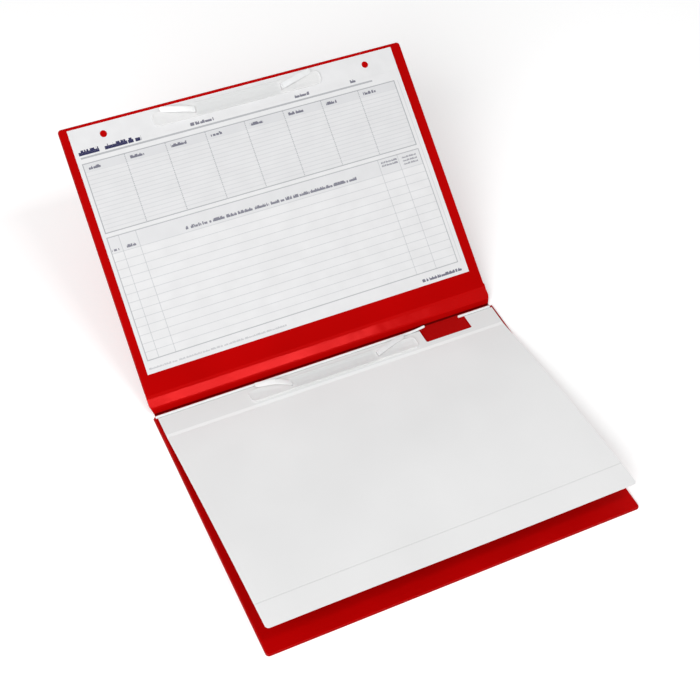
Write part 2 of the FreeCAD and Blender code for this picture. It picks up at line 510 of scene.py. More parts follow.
@dataclass(frozen=True)
class Finish:
    """A material that is made once and then found by its name."""

    name: str

    def material(self) -> bpy.types.Material:
        """Finds the material, or makes it at its first use.

        Returns:
            The material.
        """
        found = bpy.data.materials.get(self.name)
        if found:
            return found
        made = bpy.data.materials.new(self.name)
        made.use_nodes = True
        made.node_tree.nodes.clear()
        shader = self.build(made.node_tree)
        add_node(made.node_tree, "OutputMaterial", {"Surface": shader})
        return made

    def build(self, tree: Tree) -> Socket:
        """Makes the nodes and gives the shader's output."""
        raise NotImplementedError

    @staticmethod
    def blotch(tree: Tree, spot: float, low: float = 0.0, high: float = 1.0, detail: float = 2.0) -> Socket:
        """Soft noise in object space.

        Args:
            tree: Node tree that gets the nodes.
            spot: Size of a spot in metres.
            low: Value in the hollows.
            high: Value on the peaks.
            detail: Octaves of the noise.

        Returns:
            The value between low and high.
        """
        place = add_node(tree, "TexCoord").outputs["Object"]
        noise = add_node(tree, "TexNoise", {"Vector": place, "Scale": 1 / spot, "Detail": detail})
        spread = {"Value": noise.outputs[0], "From Min": 0.3, "From Max": 0.7, "To Min": low, "To Max": high}
        return add_node(tree, "MapRange", spread).outputs["Result"]

    @staticmethod
    def tint(tree: Tree, share: Socket, first: str | Socket, second: str | Socket) -> Socket:
        """Mixes two colours.

        Args:
            tree: Node tree that gets the node.
            share: Share of the second colour.
            first: Hex colour or output socket.
            second: Hex colour or output socket.

        Returns:
            The mixed colour.
        """
        mix = add_node(tree, "Mix", {0: share}, data_type="RGBA")
        for number, colour in ((6, first), (7, second)):
            if isinstance(colour, str):
                mix.inputs[number].default_value = linear(colour)
            else:
                tree.links.new(colour, mix.inputs[number])
        return mix.outputs[2]

    @staticmethod
    def bump(
        tree: Tree, height: Socket, strength: float, depth: float, under: Socket | None = None
    ) -> Socket:
        """Relief of a face.

        Args:
            tree: Node tree that gets the node.
            height: Height from 0 to 1.
            strength: How much of the relief shows.
            depth: Real depth in metres.
            under: Relief that it lies on.

        Returns:
            The normal.
        """
        values = {"Height": height, "Strength": strength, "Distance": depth}
        if under:
            values["Normal"] = under
        return add_node(tree, "Bump", values).outputs[0]

    @staticmethod
    def surface(
        tree: Tree,
        colour: Socket,
        rough: float | Socket,
        normal: Socket,
        ior: float,
        extra: dict | None = None,
    ) -> Socket:
        """Shader of a solid face.

        Args:
            tree: Node tree that gets the node.
            colour: Base colour.
            rough: Roughness.
            normal: Relief.
            ior: Index of refraction.
            extra: Other inputs.

        Returns:
            The shader's output.
        """
        values = {"Base Color": colour, "Roughness": rough, "Normal": normal, "IOR": ior}
        return add_node(tree, "BsdfPrincipled", values | (extra or {})).outputs[0]


@dataclass(frozen=True)
class RedFilm(Finish):
    """Calendered PVC film: a deep, even red with a fine pressed grain and a soft, red-tinted shine."""

    colour: str = "#B60203"
    shade: str = "#AD0202"
    shine: float = 0.28
    grain: float = 3.0 * MM
    depth: float = 0.08
    glint: float = 0.03
    sheen: float = 0.2
    wave: float = 0.0

    def build(self, tree: Tree) -> Socket:
        """Makes slow colour drift, uneven gloss, waves, and grain drawn coarser than its real 0.3 mm.

        Args:
            tree: Node tree of the material.

        Returns:
            The shader's output.
        """
        colour = self.tint(tree, self.blotch(tree, 60 * MM), self.shade, self.colour)
        rough = self.blotch(tree, 25 * MM, self.shine, self.shine + 0.08)
        waves = self.bump(tree, self.blotch(tree, 30 * MM), self.wave, 1 * MM)
        grain = self.bump(tree, self.blotch(tree, self.grain, detail=0.0), self.depth, 0.1 * MM, waves)
        gloss = {"Specular Tint": (1.0, self.glint, self.glint, 1.0), "Specular IOR Level": self.sheen}
        return self.surface(tree, colour, rough, grain, 1.53, gloss)


@dataclass(frozen=True)
class Greyboard(Finish):
    """Millboard under the film: flat grey-brown with short darker fibres."""

    def build(self, tree: Tree) -> Socket:
        """Makes fibre flecks on a matt, slightly rough face.

        Args:
            tree: Node tree of the material.

        Returns:
            The shader's output.
        """
        fleck = self.blotch(tree, 1.5 * MM, detail=5.0)
        colour = self.tint(tree, fleck, "#8F8A80", "#B3AEA4")
        return self.surface(tree, colour, 0.95, self.bump(tree, fleck, 0.2, 0.1 * MM), 1.5)


@dataclass(frozen=True)
class Moulding(Finish):
    """Moulded polypropylene: translucent white with a faint waxy sheen and soft flow marks."""

    colour: str = "#F2F3F4"
    shade: str = "#EAEBEC"
    shine: float = 0.3
    glow: float = 0.15
    # Stretch painted darker as shade: its middle and half length along the fold, and its colour.
    band: tuple[float, float] = (0.0, 0.0)
    band_shade: str = "#D0D2D3"

    def build(self, tree: Tree) -> Socket:
        """Makes milky drift of colour, uneven gloss and a thin scattering depth.

        Args:
            tree: Node tree of the material.

        Returns:
            The shader's output.
        """
        colour = self.tint(tree, self.blotch(tree, 18 * MM), self.shade, self.colour)
        # Painted shade: a darker band between the prongs.
        if self.band[1]:
            colour = self.tint(tree, self.off_shade_band(tree), self.band_shade, colour)
        rough = self.blotch(tree, 9 * MM, self.shine, self.shine + 0.1)
        marks = self.bump(tree, self.blotch(tree, 5 * MM), 0.06, 0.2 * MM)
        depth = {"Subsurface Weight": self.glow, "Subsurface Radius": (1, 1, 1), "Subsurface Scale": 1.5 * MM}
        return self.surface(tree, colour, rough, marks, 1.49, depth)

    def off_shade_band(self, tree: Tree) -> Socket:
        """Masks what lies outside the stretch along the fold, between the prongs, that is painted darker as
        shade.

        Args:
            tree: Node tree of the material.

        Returns:
            The mask, 0 in the stretch and 1 beyond its soft ends.
        """
        centre, reach = self.band
        place = add_node(tree, "TexCoord").outputs["Object"]
        along = add_node(tree, "SeparateXYZ", {"Vector": place}).outputs["X"]
        off = add_node(tree, "Math", {0: along, 1: centre}, operation="SUBTRACT").outputs[0]
        far = add_node(tree, "Math", {0: off}, operation="ABSOLUTE").outputs[0]
        ends = {"Value": far, "From Min": reach - 2 * MM, "From Max": reach + 2 * MM}
        return add_node(tree, "MapRange", ends).outputs["Result"]


@dataclass(frozen=True)
class FrostedSheet(Finish):
    """Frosted polypropylene sheet: milky white, satin, with a fine orange-peel face."""

    colour: str = "#EFEFEF"
    shade: str = "#E9E9E9"

    def build(self, tree: Tree) -> Socket:
        """Makes slow milky drift, frosted grain drawn coarser than its real 0.2 mm and a satin sheen.

        Args:
            tree: Node tree of the material.

        Returns:
            The shader's output.
        """
        colour = self.tint(tree, self.blotch(tree, 90 * MM), self.shade, self.colour)
        rough = self.blotch(tree, 30 * MM, 0.5, 0.6)
        grain = self.bump(tree, self.blotch(tree, 0.8 * MM), 0.05, 0.05 * MM)
        return self.surface(tree, colour, rough, grain, 1.49)


class Ink:
    """Draws rules, bands and greeked words over paper, in millimetres from the page's lower left corner."""

    def __init__(self, tree: Tree, paper: Socket) -> None:
        """Takes the page coordinates from the UV map.

        Args:
            tree: Node tree that gets the nodes.
            paper: Colour of the bare paper.
        """
        self.tree = tree
        self.colour = paper
        page = add_node(tree, "UVMap", uv_map="flat").outputs["UV"]
        split = add_node(tree, "SeparateXYZ", {"Vector": page})
        self.x = self.math("MULTIPLY", split.outputs["X"], 1 / MM)
        self.y = self.math("MULTIPLY", split.outputs["Y"], 1 / MM)

    def math(self, operation: str, *values: float | Socket) -> Socket:
        """One arithmetic node."""
        return add_node(self.tree, "Math", dict(enumerate(values)), operation=operation).outputs[0]

    def rect(self, left: float, right: float, low: float, high: float) -> Socket:
        """Mask of a rectangle.

        Args:
            left: Left side.
            right: Right side.
            low: Lower side.
            high: Upper side.

        Returns:
            The mask.
        """
        across = self.math("COMPARE", self.x, (left + right) / 2, (right - left) / 2)
        up = self.math("COMPARE", self.y, (low + high) / 2, (high - low) / 2)
        return self.math("MULTIPLY", across, up)

    def comb(self, along: Socket, start: float, pitch: float, width: float) -> Socket:
        """Mask of lines that repeat at a pitch."""
        place = self.math("WRAP", along, start + pitch / 2, start - pitch / 2)
        return self.math("COMPARE", place, start, width / 2)

    def lay(self, mask: Socket, colour: str, strength: float) -> None:
        """Lays a colour over the page where a mask is on."""
        share = self.math("MULTIPLY", mask, strength)
        self.colour = Finish.tint(self.tree, share, self.colour, colour)

    def outline(self, box: Sequence[float], width: float, colour: str, strength: float) -> None:
        """Lays the outline of a rectangle.

        Args:
            box: Left, right, lower and upper side.
            width: Width of the line.
            colour: Ink.
            strength: How much of the ink shows.
        """
        left, right, low, high = box
        half = width / 2
        outer = self.rect(left - half, right + half, low - half, high + half)
        inner = self.rect(left + half, right - half, low + half, high - half)
        self.lay(self.math("SUBTRACT", outer, inner), colour, strength)

    def words(self, left: float, right: float, y: float, height: float, colour: str, strength: float) -> None:
        """Lays a greeked line of words: uneven dashes for letters, with fewer strokes in the upper third.

        Args:
            left: Start of the line.
            right: End of the line.
            y: Middle of the line.
            height: Height of the dashes.
            colour: Ink.
            strength: How much of the ink shows.
        """
        area = self.rect(left, right, y - height / 2, y + height / 2)
        across = self.math("MULTIPLY", self.x, 1.8 / height)
        row = self.math("GREATER_THAN", self.y, y + 0.15 * height)
        place = add_node(self.tree, "CombineXYZ", {0: across, 1: self.math("MULTIPLY", row, 0.3), 2: left})
        noise = add_node(self.tree, "TexNoise", {"Vector": place.outputs[0], "Scale": 1.0, "Detail": 1.0})
        dash = self.math("GREATER_THAN", noise.outputs[0], self.math("MULTIPLY_ADD", row, 0.13, 0.4))
        self.lay(self.math("MULTIPLY", area, dash), colour, strength)


@dataclass(frozen=True)
class FormPaper(Finish):
    """Uncoated white paper with a common ruled form: two tables in pale grey and dark blue greeked words."""

    printed: bool = True
    paper: str = "#E6E6E7"
    shade: str = "#E1E1E2"
    rule: str = "#B2B4B8"
    border: str = "#9C9EA3"
    band: str = "#CCCDD0"
    ink: str = "#3A3A58"
    heading: str = "#23234C"
    upper: tuple[float, float, float, float] = (3.75, 289.5, 120.2, 180.0)
    upper_head: float = 172.7
    upper_row: float = 3.5
    upper_column: float = 35.72
    lower: tuple[float, float, float, float] = (3.5, 289.75, 11.0, 116.2)
    lower_head: float = 102.5
    lower_row: float = 7.03
    lower_columns: tuple[float, ...] = (13.25, 28.0, 249.75, 268.75)
    line: float = 0.5
    thick_line: float = 0.8

    def build(self, tree: Tree) -> Socket:
        """Makes paper tooth and cloudiness, with the rules and words laid over it.

        Args:
            tree: Node tree of the material.

        Returns:
            The shader's output.
        """
        ink = Ink(tree, self.tint(tree, self.blotch(tree, 14 * MM), self.shade, self.paper))
        if self.printed:
            self.upper_table(ink)
            self.lower_table(ink)
            ink.lay(ink.rect(4.0, 270.0, 184.2, 185.7), self.border, 0.75)
            ink.lay(ink.rect(292.8, 293.3, self.lower[2], self.upper[3]), self.rule, 0.5)
            self.text(ink)
        tooth = self.bump(tree, self.blotch(tree, 0.7 * MM), 0.06, 0.05 * MM)
        return self.surface(tree, ink.colour, 0.72, tooth, 1.45)

    def upper_table(self, ink: Ink) -> None:
        """Lays the upper table: a tinted ground, its head, close rows and dotted columns.

        Args:
            ink: Print of the page.
        """
        left, right, low, high = self.upper
        table = ink.rect(*self.upper)
        ink.lay(table, "#C8C9CC", 0.2)
        ink.lay(ink.rect(left, right, self.upper_head, high), self.band, 0.35)
        rows = ink.comb(ink.y, low, self.upper_row, 0.45)
        ink.lay(ink.math("MULTIPLY", ink.rect(left, right, low, self.upper_head), rows), self.rule, 0.42)
        columns = ink.comb(ink.x, left, self.upper_column, self.thick_line)
        dots = ink.math("MULTIPLY", columns, ink.comb(ink.y, 0.0, 1.6, 1.0))
        ink.lay(ink.math("MULTIPLY", table, dots), self.border, 0.8)
        ink.outline(self.upper, self.thick_line, self.border, 0.8)

    def lower_table(self, ink: Ink) -> None:
        """Lays the lower table: its head, wide rows and four narrow columns.

        Args:
            ink: Print of the page.
        """
        left, right, low, high = self.lower
        ink.lay(ink.rect(left, right, self.lower_head, high), self.band, 0.25)
        rows = ink.comb(ink.y, low, self.lower_row, self.line)
        body = ink.rect(left, right, low, self.lower_head + 1.5)
        ink.lay(ink.math("MULTIPLY", body, rows), self.rule, 0.55)
        for x in self.lower_columns:
            ink.lay(ink.rect(x - self.line / 2, x + self.line / 2, low, high), self.rule, 0.7)
        ink.outline(self.lower, self.thick_line, self.border, 0.7)

    def text(self, ink: Ink) -> None:
        """Lays the greeked words of the heading, the column heads and the foot.

        Args:
            ink: Print of the page.
        """
        ink.words(3.5, 57.5, 189.4, 4.4, self.heading, 1.0)
        for left, right in ((101, 122), (197, 211), (250, 255)):
            ink.words(left, right, 189.0, 2.8, self.ink, 0.8)
        for column in range(8):
            left = self.upper[0] + self.upper_column * column + 4.0
            ink.words(left, left + 10.0 + 2.0 * (column % 3), 175.8, 2.7, self.ink, 0.8)
        ink.words(68.6, 226.0, 106.2, 2.8, self.ink, 0.75)
        for left, right in ((4.3, 11.2), (17.0, 25.0)):
            ink.words(left, right, 105.4, 2.6, self.ink, 0.75)
        for y in (110.0, 112.8):
            ink.words(252.0, 267.5, y, 1.7, self.ink, 0.6)
        for y in (106.5, 109.4, 112.4):
            ink.words(272.0, 286.0, y, 1.6, self.ink, 0.55)
        ink.words(1.5, 124.0, 4.2, 1.6, self.ink, 0.3)
        ink.words(252.6, 291.0, 4.2, 2.7, self.ink, 0.85)


@dataclass(frozen=True)
class Backdrop(Finish):
    """Studio paper: matt and almost white, so that it keeps a soft shadow."""

    colour: str = "#FAFAFA"
    shade: str = "#FBFBFB"
    lift: float = 0.2

    def build(self, tree: Tree) -> Socket:
        """Makes matt paper, lifted to plain white for the lens.

        Args:
            tree: Node tree of the material.

        Returns:
            The shader's output.
        """
        colour = self.tint(tree, self.blotch(tree, 500 * MM), self.colour, self.shade)
        paper = add_node(tree, "BsdfDiffuse", {"Color": colour, "Roughness": 0.5}).outputs[0]
        lift = add_node(tree, "Math", {0: plain_view(tree), 1: self.lift}, operation="MULTIPLY").outputs[0]
        glow = add_node(tree, "Emission", {"Color": WHITE, "Strength": lift}).outputs[0]
        return add_node(tree, "AddShader", {0: paper, 1: glow}).outputs[0]


FILM = RedFilm("red_pvc_film")
# Welded rim of the covers; the same finish is laid on the hinge's lower facet as painted shade.
WELD_AND_FACET_SHADE = RedFilm("red_pvc_film_welded", "#B60202", "#AC0202", depth=0.1)
HINGE = RedFilm(
    "red_pvc_film_hinge", "#BE0202", "#B60202", shine=0.14, depth=0.05, glint=0.07, sheen=0.5, wave=0.25
)
# Painted shade: a darker red laid on the back cover's inner film near the fold.
FOLD_SHADE_FILM = RedFilm("red_pvc_film_pressed", "#AC0202", "#A40202", shine=0.3, sheen=0.15)
# Painted shade: a near-black red laid in the fold crease of the hinge film.
CREASE_SHADE_FILM = RedFilm("red_pvc_film_crease", "#640101", "#5C0101", shine=0.4, sheen=0.15)
BOARD = Greyboard("grey_millboard")
STRIP_PLASTIC = Moulding("white_polypropylene")
# Painted shade: a grey for the strip's plate beside the bead, where the bead's shadow falls.
GROOVE_SHADE_PLASTIC = Moulding("white_polypropylene_groove", "#AEB1B2", "#A4A7A8", 0.5, 0.1)
# Middle and half length of the bar's painted shade band.
BAR_SHADE_BAND = (-1.5 * MM, 38 * MM)
BAR_PLASTIC = Moulding("natural_polypropylene", "#E6E6E6", "#E1E1E1", 0.56, 0.2, BAR_SHADE_BAND, "#DADBDB")
# Lit and shaded copies of the tongue plastic: the left tongues painted brighter as highlight, the right ones
# darker as shade.
LIT_STRAP_PLASTIC = Moulding("natural_polypropylene_strap", "#FAFBFB", "#F4F5F5", 0.28, 0.2)
SHADED_STRAP_PLASTIC = Moulding("natural_polypropylene_flat_strap", "#EAEBEC", "#E4E5E6", 0.42, 0.2)
SHEET_PLASTIC = FrostedSheet("frosted_polypropylene")
# Painted shade along the pressed score line of the sheet.
SCORE_SHADE_PLASTIC = FrostedSheet("frosted_polypropylene_score", "#E0E0E0", "#DADADA")
# Painted shade: the sheet's bound edge in a darker copy of the frosted sheet.
BOUND_SHADE_PLASTIC = FrostedSheet("frosted_polypropylene_bound", "#E7E7E7", "#E1E1E1")
# Painted highlight: a lighter copy of the frosted sheet along the crease.
CREASE_HIGHLIGHT_PLASTIC = FrostedSheet("frosted_polypropylene_folded", "#F4F4F4", "#EFEFEF")
PAPER = FormPaper("ruled_paper")
BLANK = FormPaper("blank_paper", printed=False)
BACKDROP = Backdrop("backdrop_paper")


def put(obj: Object, body: str, slot: str, *nodes: str) -> None:
    """Fixes a finished piece to its body and hides the nodes it stands for.

    Args:
        obj: Finished piece.
        body: Body that it moves with.
        slot: Material slot of the record; not used.
        nodes: Nodes that it replaces.
    """
    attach(obj, body)
    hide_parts(*nodes)
    LOG.info("%s on %s", obj.name, body)


def dress(node: str, finish: Finish) -> None:
    """Gives a node that keeps its shape a finish.

    Args:
        node: Name of the node.
        finish: Its finish.
    """
    mesh = frame["nodes"][node].data
    mesh.materials.clear()
    mesh.materials.append(finish.material())
    LOG.info("%s dressed", node)


@dataclass
class Cover:
    """One stiff cover: an outer film, and an inner film drawn over the board and welded along the rim."""

    half: Half
    width: float
    depth: float
    reach: float
    film: float = 0.4 * MM
    board: float = 1.6 * MM
    corner: float = 3.0 * MM
    rim: float = 0.5 * MM
    pad_round: float = 0.6 * MM
    groove: tuple[float, float, float] = (0.9 * MM, 0.3 * MM, 0.12 * MM)
    fold_shade: float = 0.0

    @property
    def inside(self) -> float:
        """Height of the inner film's face."""
        return 2 * self.film + self.board

    def build(self) -> None:
        """Makes both films and dresses the board."""
        side = self.half.side.value
        put(self.outer(f"{side}_cover_outside"), self.half.body, "red_film", f"{side}_outer_film")
        put(self.inner(f"{side}_cover_inside"), self.half.body, "red_film", f"{side}_inner_film")
        dress(f"{side}_board", BOARD)

    def outer(self, name: str) -> Object:
        """Outer film: a plate with two round corners and a groove pressed along the rim.

        Args:
            name: Name of the piece.

        Returns:
            The finished piece.
        """
        half_width = self.width / 2
        box = self.half.span(-half_width, half_width, self.reach, self.depth, 0.0, self.film)
        piece = Piece.block(name, *box)
        far = self.half.y(self.depth)
        piece.pick(Pick.EDGES, lambda e: upright(e) and abs(middle(e).y - far) < TINY).bevel(self.corner, 8)
        band, slope, depth = self.groove
        piece.pick(Pick.FACES, lambda f: f.normal.z < -0.9)
        piece.inset((band, 0), (slope, -depth), (band, 0), (slope, depth))
        return piece.close(FILM, self.half)

    def inner(self, name: str) -> Object:
        """Inner film: drawn up over the board from a narrow welded rim, open towards the fold.

        Args:
            name: Name of the piece.

        Returns:
            The finished piece.
        """
        base = 2 * self.film
        top = self.inside - TINY
        half_width = self.width / 2
        piece = Piece.sheet(name, *self.half.span(-half_width, half_width, 0.0, self.depth, base, base))
        piece.pick(Pick.CORNERS).bevel(self.corner, 8, corners=True)
        piece.pick(Pick.FACES).inset((self.rim, 0)).raise_face(self.board)
        piece.pick(Pick.EDGES, lambda e: min(v.co.z for v in e.verts) > top).bevel(self.pad_round, 4)
        piece.trim(self.half.at(0, self.reach, base), Vector((0, -self.half.way, 0)))
        piece.paint(FILM)
        # Painted shade: the inner film within fold_shade of the fold gets a darker red.
        if self.fold_shade:
            shaded = self.half.y(self.fold_shade)
            piece.slice(ys=[shaded])
            piece.paint(FOLD_SHADE_FILM, lambda f: (middle(f).y - shaded) * self.half.way < 0)
        piece.paint(WELD_AND_FACET_SHADE, lambda f: max(v.co.z for v in f.verts) < base + TINY)
        piece.thicken(self.film)
        return piece.close(FILM, self.half)


@dataclass
class Hinge:
    """The films between the covers: flat outside, and inside pressed down at both folds with a low ridge."""

    back: Half
    front: Half
    width: float
    back_reach: float = 3.4 * MM
    lid_reach: float = 4.6 * MM
    rise: float = 0.8 * MM
    lid_rise: float = 2.4 * MM
    lid_step: float = 2.0 * MM
    bend: float = 1.9 * MM
    ridge_at: float = 5.5 * MM
    ridge: float = 3.0 * MM
    lip: float = 0.6 * MM
    joint_at: float = 8.0 * MM
    rounding: float = 0.7 * MM
    strip_width: float = 0.4 * MM
    crease: float = 1.1 * MM
    drawn: float = 2.5 * MM
    ends: tuple[float, float] = (1.8 * MM, 2.5 * MM)

    @property
    def spine(self) -> float:
        """Distance between the two folds."""
        return self.front.fold_y - self.back.fold_y

    def build(self) -> None:
        """Makes the lower and the upper hinge film."""
        lower = self.strip("lower_hinge_film", -self.back_reach, self.joint_at)
        upper = self.strip("upper_hinge_film", self.joint_at, self.spine + self.lid_reach)
        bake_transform(lower)
        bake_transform(upper)
        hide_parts("spine_outer_film", "back_fold_seam")
        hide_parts("spine_inner_film", "front_fold_seam")
        for piece in (lower, upper):
            LOG.info("%s between its covers", piece.name)

    def height(self, along: float) -> float:
        """Thickness of the films at a distance past the lower fold.

        Args:
            along: Distance up the spine, below nothing on the back cover.

        Returns:
            The height of the inside over the outside, averaged over the rounding so that no bend is sharp.
        """
        bends = (-self.back_reach, 0.0, self.ridge_at, self.spine, self.spine + self.lid_step)
        heights = (self.rise, self.rise, self.ridge, self.bend, self.lid_rise)
        near = np.linspace(along - self.rounding, along + self.rounding, 9)
        return float(np.interp(near, bends, heights).mean())

    def strip(self, name: str, start: float, end: float) -> Object:
        """Films along the fold: a block laid out flat, cut into narrow strips, painted and bent.

        Args:
            name: Name of the piece.
            start: Distance of its lower end past the lower fold.
            end: Distance of its upper end.

        Returns:
            The finished piece.
        """
        piece = Piece.block(name, Vector((-self.width / 2, start, 0)), Vector((self.width / 2, end, MM)))
        piece.slice(ys=steps(start, end, round((end - start) / self.strip_width)))
        piece.paint(HINGE)
        zones = (
            # Painted shade: the lower facet up to the ridge is darker than the hinge film.
            (WELD_AND_FACET_SHADE, start, self.ridge_at - self.lip),
            # Painted shade in the fold crease.
            (CREASE_SHADE_FILM, -self.crease, self.crease),
            (FILM, self.spine + self.lid_step, end),
        )
        for finish, low, high in zones:
            piece.paint(finish, lambda f: f.normal.z > 0.9 and low < middle(f).y < high)
        piece.shape(self.lay)
        return piece.close(HINGE)

    def lay(self, place: Vector) -> Vector:
        """Where a place of the flat block comes to lie.

        Args:
            place: Place along the fold, distance past it, and height, which is nothing on the outside.

        Returns:
            The place on the back cover or the raised spine, with the ends drawn in towards the lower fold.
        """
        near = max(0.0, 1 - abs(place.y) / self.joint_at)
        height = self.height(place.y) if place.z > MM / 2 else 0.0
        x = place.x - math.copysign(self.drawn * near, place.x)
        spot = Vector((x, self.back.fold_y + place.y, height))
        return self.front.raise_up @ spot if place.y > 0 else spot


@dataclass
class Leaf:
    """A punched leaf in two pieces: the edge in its fastener and the page that turns about the crease."""

    half: Half
    name: str
    body: str
    slot: str
    holes: Sequence[float]
    hole_line: float
    hole: float = 6.0 * MM
    gap: float = 0.025 * MM
    left: float = field(init=False)
    right: float = field(init=False)

    def __post_init__(self) -> None:
        """Takes the leaf's ends along the fold from the frame."""
        low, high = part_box(f"{self.name}_binding_edge")
        self.left, self.right = low.x, high.x

    def build(self) -> None:
        """Makes the bound edge and the page."""
        put(self.edge(), self.half.body, self.slot, f"{self.name}_binding_edge")
        put(self.page(), self.body, self.slot, f"{self.name}_leaf")

    def edge(self) -> Object:
        """Bound edge under the fastener."""
        raise NotImplementedError

    def page(self) -> Object:
        """Page beyond the crease."""
        raise NotImplementedError

    def punches(self, level: float) -> list[Piece]:
        """Cutters for the round holes of a leaf at a height."""
        places = [self.half.at(x, self.hole_line, level) for x in self.holes]
        return [Piece.cylinder("hole", place, (self.hole / 2, CUTTER), 40) for place in places]


@dataclass
class Form(Leaf):
    """The ruled form in the lid."""

    level: float = field(kw_only=True)
    thickness: float = 0.25 * MM
    grid: tuple[int, int] = (18, 16)
    bow: float = 0.5 * MM
    wave: float = 46 * MM
    clear: float = 0.03 * MM
    low: float = field(init=False)
    crease: float = field(init=False)
    high: float = field(init=False)

    def __post_init__(self) -> None:
        """Takes the form's ends, its crease and its free edge from the frame."""
        super().__post_init__()
        self.crease, self.high = self.half.reach("form_binding_edge")
        self.low = self.half.reach("form_leaf")[0]

    @property
    def top(self) -> float:
        """Height of the printed face."""
        return self.level + self.thickness

    def edge(self) -> Object:
        """Punched edge under the fastener.

        Returns:
            The finished piece.
        """
        near = self.crease + self.gap
        box = self.half.span(self.left, self.right, near, self.high, self.level, self.top)
        piece = Piece.block("form_edge", *box)
        piece.merge("DIFFERENCE", *self.punches(self.level))
        return self.dress(piece)

    def page(self) -> Object:
        """Page below the crease, standing slightly proud of the cover in its middle.

        Returns:
            The finished piece.
        """
        far = self.crease - self.gap
        low, high = self.half.span(self.left, self.right, self.low, far, self.top, self.top)
        piece = Piece.sheet("form_page", low, high)
        across, up = self.grid
        piece.slice(steps(self.left, self.right, across), steps(low.y, high.y, up))
        piece.shape(lambda p: p + Vector((0, 0, self.lift(p.x, (high.y - p.y) / (high.y - low.y)))))
        piece.thicken(self.thickness)
        return self.dress(piece)

    def dress(self, piece: Piece) -> Object:
        """Prints the upper face, leaves the other faces blank and raises the piece.

        Args:
            piece: Flat piece of the form.

        Returns:
            The finished piece.
        """
        piece.flat_map(self.half.at(self.left, self.low, 0))
        piece.paint(BLANK)
        piece.paint(PAPER, lambda f: f.normal.z > 0.7)
        return piece.close(PAPER, self.half)

    def lift(self, x: float, share: float) -> float:
        """Height of the page over its rest.

        Args:
            x: Place along the fold.
            share: Distance from the crease, as a share of the page.

        Returns:
            The lift, a hair at the crease and a little more at the free edge.
        """
        wave = 0.5 + 0.5 * math.sin(x / self.wave + 0.8)
        return self.clear + self.bow * (math.sin(math.pi * min(share, 0.85)) * 0.7 + 0.6 * share * wave)


@dataclass
class Sheet(Leaf):
    """The frosted plastic sheet on the back cover, with a cut-out in its bound edge."""

    corner: float = 3.0 * MM
    notch: tuple[float, float, float] = (83.0 * MM, 127.0 * MM, 13.5 * MM)
    notch_round: float = 1.5 * MM
    crease_highlight: float = 3.0 * MM
    grid: int = 20
    lift: float = 20.5 * MM
    arch: float = 2.5 * MM
    wave: float = 0.5 * MM
    score: float = 201.5 * MM
    score_width: float = 0.5 * MM
    score_depth: float = 0.12 * MM
    near: float = field(init=False)
    crease: float = field(init=False)
    far: float = field(init=False)
    level: float = field(init=False)
    top: float = field(init=False)

    def __post_init__(self) -> None:
        """Takes the sheet's place and thickness from the frame."""
        super().__post_init__()
        low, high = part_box("sheet_binding_edge")
        self.near, self.crease = self.half.reach("sheet_binding_edge")
        self.far = self.half.reach("sheet_leaf")[1]
        self.level, self.top = low.z, high.z

    def edge(self) -> Object:
        """Bound edge with its holes and cut-out, painted darker as shade, with a painted highlight along the
        crease.

        Returns:
            The finished piece.
        """
        far = self.crease - self.gap
        box = self.half.span(self.left, self.right, self.near, far, self.level, self.top)
        piece = Piece.block("sheet_edge", *box)
        start, end, depth = self.notch
        floor = self.half.y(self.near + depth)
        cutter = Piece.block("notch", *self.half.span(start, end, 0, self.near + depth, 0, CUTTER))
        cutter.pick(Pick.EDGES, lambda e: upright(e) and abs(middle(e).y - floor) < TINY)
        cutter.bevel(self.notch_round, 5)
        piece.merge("DIFFERENCE", cutter, *self.punches(self.level))
        # Painted shade: the whole bound edge gets the darker copy of the sheet.
        piece.paint(BOUND_SHADE_PLASTIC)
        # Painted highlight: a lighter strip along the crease.
        line = self.half.y(self.crease - self.crease_highlight)
        piece.slice(ys=[line])
        piece.paint(CREASE_HIGHLIGHT_PLASTIC, lambda f: (middle(f).y - line) * self.half.way > 0)
        return piece.close(BOUND_SHADE_PLASTIC, self.half)

    def page(self) -> Object:
        """Page beyond the crease: lifted, twisted and bowed, with a pressed line near its front edge.

        Returns:
            The finished piece.
        """
        near = self.crease + self.gap
        box = self.half.span(self.left, self.right, near, self.far, self.top, self.top)
        piece = Piece.sheet("sheet_page", *box)
        front = self.half.y(self.far)
        piece.pick(Pick.CORNERS, lambda v: abs(v.co.y - front) < TINY).bevel(self.corner, 8, corners=True)
        rows = steps(self.crease, self.far, self.grid)
        rows += [self.score - self.score_width, self.score, self.score + self.score_width]
        piece.slice(steps(self.left, self.right, self.grid), [self.half.y(row) for row in rows])
        piece.paint(SHEET_PLASTIC)
        # Painted shade: the faces along the score line get a darker finish.
        line = self.half.y(self.score)
        piece.paint(SCORE_SHADE_PLASTIC, lambda f: abs(middle(f).y - line) < self.score_width)
        piece.shape(self.rest)
        piece.thicken(self.top - self.level)
        return piece.close(SHEET_PLASTIC, self.half, 8.0)

    def rest(self, place: Vector) -> Vector:
        """Where a flat place of the page comes to rest.

        Args:
            place: Flat place.

        Returns:
            The place lifted off the cover.
        """
        reach = (place.y - self.half.fold_y) * self.half.way
        share = (reach - self.crease) / (self.far - self.crease)
        across = (place.x - self.left) / (self.right - self.left)
        rise = self.lift * share + self.arch * (1 - (2 * share - 1) ** 2)
        wave = self.wave * math.sin(2 * math.pi * across + 0.6) * share
        groove = self.score_depth if abs(reach - self.score) < self.score_width / 5 else 0.0
        return place + Vector((0, 0, rise + wave - groove))


